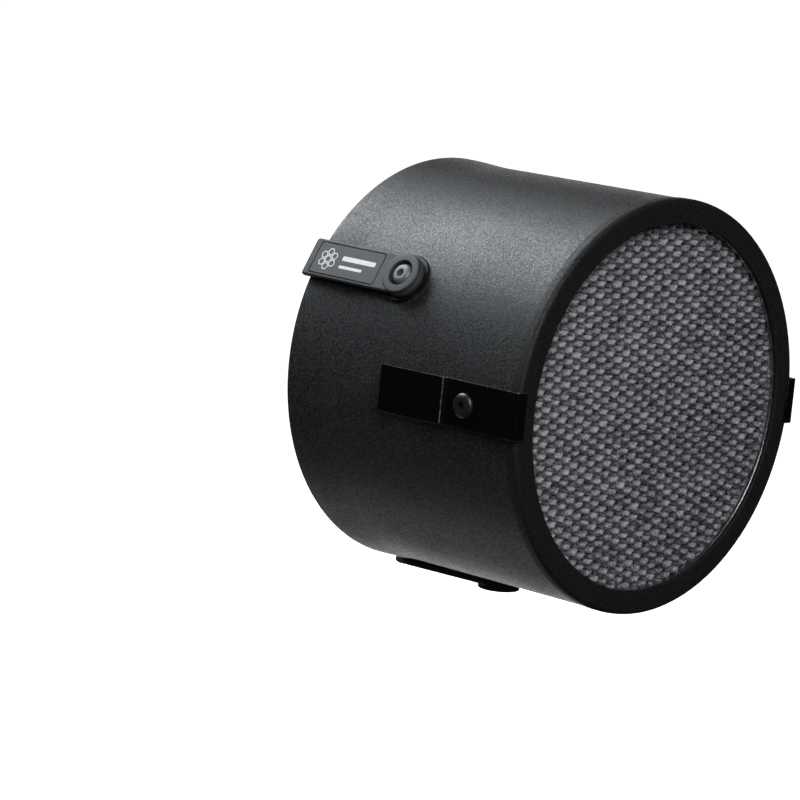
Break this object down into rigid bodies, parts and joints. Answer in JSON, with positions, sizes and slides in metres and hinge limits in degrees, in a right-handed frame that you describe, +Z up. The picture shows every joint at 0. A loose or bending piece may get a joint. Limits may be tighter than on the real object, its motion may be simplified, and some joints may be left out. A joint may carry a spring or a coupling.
{
  "type": "honeycomb grid snoot",
  "caption": "Cylindrical snoot with a honeycomb grid in its mouth, swing tabs on radial screws and hooked leaf clips that hold a filter over the front ring.",
  "frame": {"origin": "centre of the mouth that the light's barrel enters, in the plane of the sleeve's rear rim", "axes": "+Y along the bore, the way the barrel leaves; light leaves towards -Y; +Z up, so the clips are at the sides and one tab is at the bottom; +X to the right when looking into the mouth of the snoot along +Y"},
  "size_m": [0.1106, 0.0813, 0.1089],
  "materials": {
    "powder_coat": "fine-grained black powder coat, satin",
    "ring_paint": "black anodised, smooth satin",
    "hoop_metal": "bright rolled strip",
    "foil": "expanded foil, slightly dulled",
    "cushion_felt": "black felt",
    "retainer_metal": "black anodised",
    "pad_rubber": "matte",
    "lining_rubber": "matte",
    "tab_plastic": "soft matte moulding",
    "inlay_plate": "fine matte, blank",
    "bush_steel": "turned",
    "washer_steel": "black oxide",
    "bright_screw": "zinc plated, worn",
    "clip_steel": "smooth black, worn to metal at the edges",
    "spacer_plastic": "matte",
    "black_screw": "black oxide, rubbed"
  },
  "bodies": {
    "sleeve_assembly": {"sleeve": "powder_coat", "front_ring": "ring_paint", "core_band": "hoop_metal", "honeycomb_core": "foil", "core_cushion": "cushion_felt", "retainer_ring": "retainer_metal", "stop_pad": "pad_rubber", "grip_lining": "lining_rubber", "pivot_bush_left": "bush_steel", "pivot_bush_bottom": "bush_steel", "pivot_bush_right": "bush_steel", "serrated_washer_left": "washer_steel", "serrated_washer_bottom": "washer_steel", "serrated_washer_right": "washer_steel", "pivot_screws": "bright_screw", "clip_spacer_left": "spacer_plastic", "clip_spacer_right": "spacer_plastic", "clip_screws": "black_screw"},
    "left_tab": {"tab_left": "tab_plastic", "tab_left_plate": "inlay_plate"},
    "bottom_tab": {"tab_bottom": "tab_plastic", "tab_bottom_plate": "inlay_plate"},
    "right_tab": {"tab_right": "tab_plastic", "tab_right_plate": "inlay_plate"},
    "left_clip": {"clip_left": "clip_steel"},
    "right_clip": {"clip_right": "clip_steel"}
  },
  "joints": [
    {"name": "left_tab_swivel", "type": "hinge", "parent": "sleeve_assembly", "child": "left_tab", "pos_m": [-0.04599, -0.0314, 0.02655], "axis": [-0.866, 0, 0.5], "range_deg": [-90, 90]},
    {"name": "bottom_tab_swivel", "type": "hinge", "parent": "sleeve_assembly", "child": "bottom_tab", "pos_m": [0, -0.0314, -0.0531], "axis": [0, 0, -1], "range_deg": [-90, 90]},
    {"name": "right_tab_swivel", "type": "hinge", "parent": "sleeve_assembly", "child": "right_tab", "pos_m": [0.04599, -0.0314, 0.02655], "axis": [0.866, 0, 0.5], "range_deg": [-90, 90]},
    {"name": "left_clip_rock", "type": "hinge", "parent": "sleeve_assembly", "child": "left_clip", "pos_m": [-0.05315, -0.0623, 0], "axis": [0, 0, -1], "range_deg": [0, 4], "stiffness_Nm_per_rad": 1, "springref_deg": -1.15},
    {"name": "right_clip_rock", "type": "hinge", "parent": "sleeve_assembly", "child": "right_clip", "pos_m": [0.05315, -0.0623, 0], "axis": [0, 0, 1], "range_deg": [0, 4], "stiffness_Nm_per_rad": 1, "springref_deg": -1.15}
  ]
}
